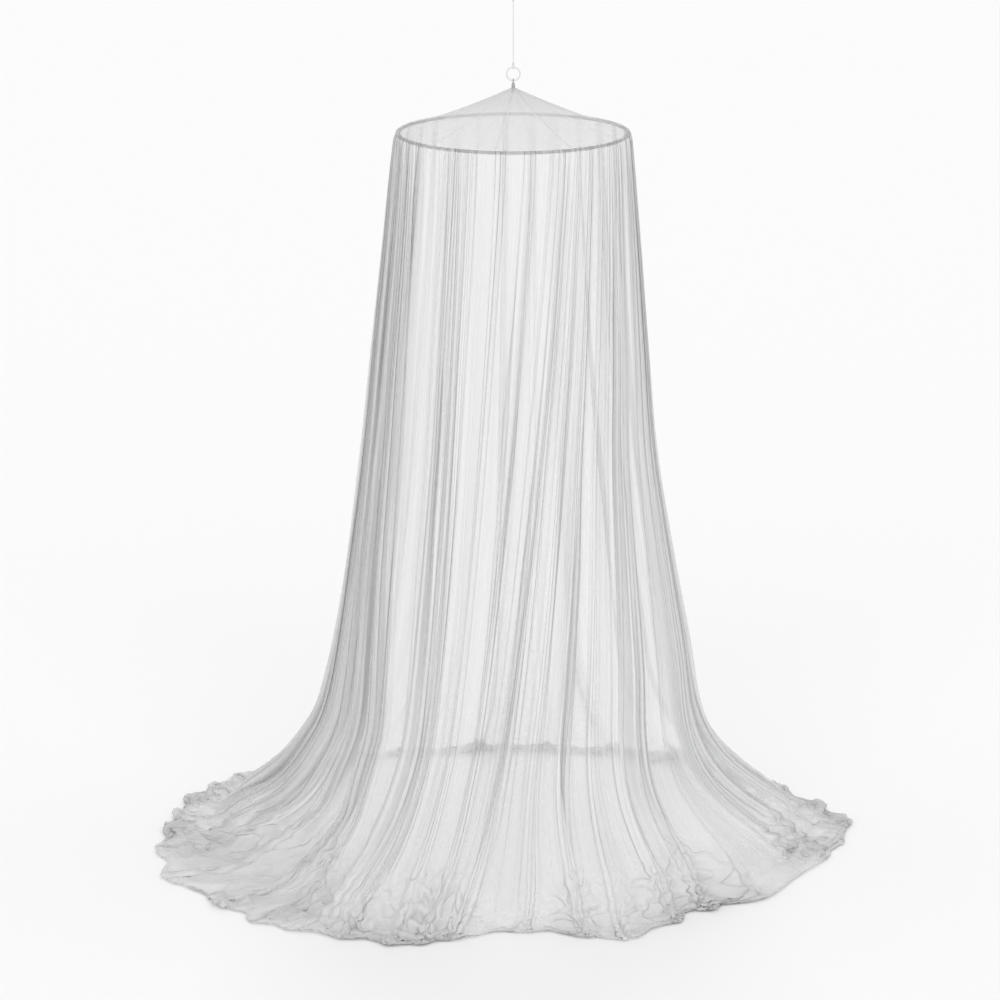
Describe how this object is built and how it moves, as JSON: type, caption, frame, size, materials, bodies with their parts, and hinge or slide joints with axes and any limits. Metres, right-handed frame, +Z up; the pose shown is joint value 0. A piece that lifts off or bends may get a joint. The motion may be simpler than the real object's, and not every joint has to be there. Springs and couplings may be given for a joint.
{
  "type": "mosquito net canopy and hoop",
  "caption": "Round mosquito net canopy that hangs by a cord from one ceiling hook, spread at the top by a slim hoop and pooling on the floor.",
  "frame": {"origin": "the point inside the cord's top loop where a ceiling hook carries it", "axes": "+Z up along the cord, -Y towards the front of the picture, +X to its right"},
  "size_m": [1.859, 1.704, 2.2521],
  "materials": {
    "net": "sheer white polyester mesh",
    "hoop": "satin grey",
    "ring": "satin white",
    "cord": "twisted white cord"
  },
  "bodies": {
    "root": {"wall_net": "net", "roof_net": "net", "crown_gather": "net", "hoop": "hoop", "hang_ring": "ring", "hang_line": "cord", "hang_loop": "cord", "ring_hitch": "cord"}
  },
  "joints": []
}
